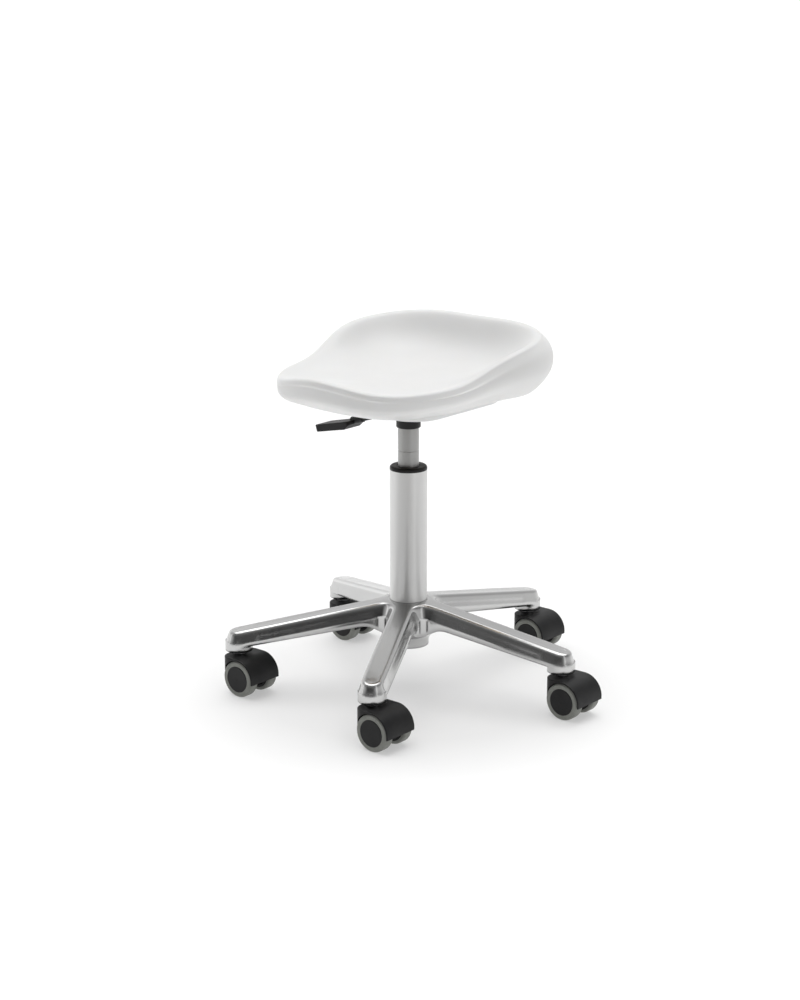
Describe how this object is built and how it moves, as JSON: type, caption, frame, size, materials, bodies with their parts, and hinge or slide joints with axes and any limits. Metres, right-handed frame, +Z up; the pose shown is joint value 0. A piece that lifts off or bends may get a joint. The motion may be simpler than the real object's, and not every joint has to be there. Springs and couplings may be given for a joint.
{
  "type": "dentist stool",
  "caption": "Height-adjustable clinic stool: moulded white saddle seat on a gas-lift column, polished star base with twin-wheel casters and a side release lever.",
  "frame": {"origin": "on the floor under the column axis", "axes": "+Z up along the column axis; the seat's front faces -Y, the release lever points to -X"},
  "size_m": [0.4993, 0.4847, 0.487],
  "materials": {
    "polished_aluminium": "polished",
    "satin_chrome": "satin",
    "ground_steel": "satin",
    "bright_steel": "satin",
    "black_steel": "satin",
    "black_nylon": "satin",
    "black_rubber": "matte",
    "grey_tyre": "matte",
    "bearing_steel": "polished",
    "brass": "satin",
    "plywood": "matte",
    "white_foam_skin": "satin"
  },
  "bodies": {
    "base": {"star_base": "polished_aluminium", "column_tube": "satin_chrome", "guide_bush": "black_nylon", "tube_end_plate": "bright_steel", "lower_bearing_race": "bearing_steel", "caster_stems": "bright_steel", "stem_grip_rings": "bearing_steel"},
    "piston_rod": {"piston_rod": "bearing_steel", "rod_clip": "bright_steel", "upper_bearing_race": "bearing_steel", "bearing_balls": "bearing_steel", "bearing_cage": "brass", "buffer_ring": "black_rubber", "piston": "bright_steel", "piston_seal": "black_rubber"},
    "seat": {"gas_cylinder": "ground_steel", "rod_guide": "black_nylon", "valve_body": "brass", "taper_socket": "black_steel", "mounting_plate": "black_steel", "seat_pan": "plywood", "seat_cushion": "white_foam_skin", "plate_screws": "bright_steel", "seat_inserts": "brass", "lever_pivot_pin": "bright_steel"},
    "lever": {"lever_rod": "black_steel", "lever_handle": "black_nylon"},
    "release_pin": {"release_pin": "bearing_steel"},
    "caster_1": {"caster_1_hood": "black_nylon", "caster_1_axle": "bright_steel"},
    "caster_1_left_wheel": {"caster_1_left_wheel": "black_nylon", "caster_1_left_tyre": "grey_tyre"},
    "caster_1_right_wheel": {"caster_1_right_wheel": "black_nylon", "caster_1_right_tyre": "grey_tyre"},
    "caster_2": {"caster_2_hood": "black_nylon", "caster_2_axle": "bright_steel"},
    "caster_2_left_wheel": {"caster_2_left_wheel": "black_nylon", "caster_2_left_tyre": "grey_tyre"},
    "caster_2_right_wheel": {"caster_2_right_wheel": "black_nylon", "caster_2_right_tyre": "grey_tyre"},
    "caster_3": {"caster_3_hood": "black_nylon", "caster_3_axle": "bright_steel"},
    "caster_3_left_wheel": {"caster_3_left_wheel": "black_nylon", "caster_3_left_tyre": "grey_tyre"},
    "caster_3_right_wheel": {"caster_3_right_wheel": "black_nylon", "caster_3_right_tyre": "grey_tyre"},
    "caster_4": {"caster_4_hood": "black_nylon", "caster_4_axle": "bright_steel"},
    "caster_4_left_wheel": {"caster_4_left_wheel": "black_nylon", "caster_4_left_tyre": "grey_tyre"},
    "caster_4_right_wheel": {"caster_4_right_wheel": "black_nylon", "caster_4_right_tyre": "grey_tyre"},
    "caster_5": {"caster_5_hood": "black_nylon", "caster_5_axle": "bright_steel"},
    "caster_5_left_wheel": {"caster_5_left_wheel": "black_nylon", "caster_5_left_tyre": "grey_tyre"},
    "caster_5_right_wheel": {"caster_5_right_wheel": "black_nylon", "caster_5_right_tyre": "grey_tyre"}
  },
  "joints": [
    {"name": "seat_swivel", "type": "hinge", "parent": "base", "child": "piston_rod", "pos_m": [0, 0, 0.07], "axis": [0, 0, 1], "continuous": true},
    {"name": "seat_lift", "type": "slide", "parent": "piston_rod", "child": "seat", "axis": [0, 0, 1], "range_m": [-0.045, 0.085]},
    {"name": "lever_tilt", "type": "hinge", "parent": "seat", "child": "lever", "pos_m": [-0.014, 0, 0.3785], "axis": [0, 1, 0], "range_deg": [0, 10], "stiffness_Nm_per_rad": 2, "springref_deg": -5.73},
    {"name": "pin_press", "type": "slide", "parent": "seat", "child": "release_pin", "axis": [0, 0, -1], "range_m": [0, 0.0029]},
    {"name": "caster_1_swivel", "type": "hinge", "parent": "base", "child": "caster_1", "pos_m": [0.22644, 0.04033, 0.05], "axis": [0, 0, 1], "continuous": true},
    {"name": "caster_1_left_roll", "type": "hinge", "parent": "caster_1", "child": "caster_1_left_wheel", "pos_m": [0.24644, 0.04033, 0.025], "axis": [0, 1, 0], "continuous": true},
    {"name": "caster_1_right_roll", "type": "hinge", "parent": "caster_1", "child": "caster_1_right_wheel", "pos_m": [0.24644, 0.04033, 0.025], "axis": [0, 1, 0], "continuous": true},
    {"name": "caster_2_swivel", "type": "hinge", "parent": "base", "child": "caster_2", "pos_m": [0.03161, 0.22782, 0.05], "axis": [0, 0, 1], "continuous": true},
    {"name": "caster_2_left_roll", "type": "hinge", "parent": "caster_2", "child": "caster_2_left_wheel", "pos_m": [0.05161, 0.22782, 0.025], "axis": [0, 1, 0], "continuous": true},
    {"name": "caster_2_right_roll", "type": "hinge", "parent": "caster_2", "child": "caster_2_right_wheel", "pos_m": [0.05161, 0.22782, 0.025], "axis": [0, 1, 0], "continuous": true},
    {"name": "caster_3_swivel", "type": "hinge", "parent": "base", "child": "caster_3", "pos_m": [-0.2069, 0.10046, 0.05], "axis": [0, 0, 1], "continuous": true},
    {"name": "caster_3_left_roll", "type": "hinge", "parent": "caster_3", "child": "caster_3_left_wheel", "pos_m": [-0.1869, 0.10046, 0.025], "axis": [0, 1, 0], "continuous": true},
    {"name": "caster_3_right_roll", "type": "hinge", "parent": "caster_3", "child": "caster_3_right_wheel", "pos_m": [-0.1869, 0.10046, 0.025], "axis": [0, 1, 0], "continuous": true},
    {"name": "caster_4_swivel", "type": "hinge", "parent": "base", "child": "caster_4", "pos_m": [-0.15948, -0.16573, 0.05], "axis": [0, 0, 1], "continuous": true},
    {"name": "caster_4_left_roll", "type": "hinge", "parent": "caster_4", "child": "caster_4_left_wheel", "pos_m": [-0.13948, -0.16573, 0.025], "axis": [0, 1, 0], "continuous": true},
    {"name": "caster_4_right_roll", "type": "hinge", "parent": "caster_4", "child": "caster_4_right_wheel", "pos_m": [-0.13948, -0.16573, 0.025], "axis": [0, 1, 0], "continuous": true},
    {"name": "caster_5_swivel", "type": "hinge", "parent": "base", "child": "caster_5", "pos_m": [0.10833, -0.20289, 0.05], "axis": [0, 0, 1], "continuous": true},
    {"name": "caster_5_left_roll", "type": "hinge", "parent": "caster_5", "child": "caster_5_left_wheel", "pos_m": [0.12833, -0.20289, 0.025], "axis": [0, 1, 0], "continuous": true},
    {"name": "caster_5_right_roll", "type": "hinge", "parent": "caster_5", "child": "caster_5_right_wheel", "pos_m": [0.12833, -0.20289, 0.025], "axis": [0, 1, 0], "continuous": true}
  ],
  "couplings": [
    {"joint": "pin_press", "follows": "lever_tilt", "m_per_rad": 0.015}
  ]
}
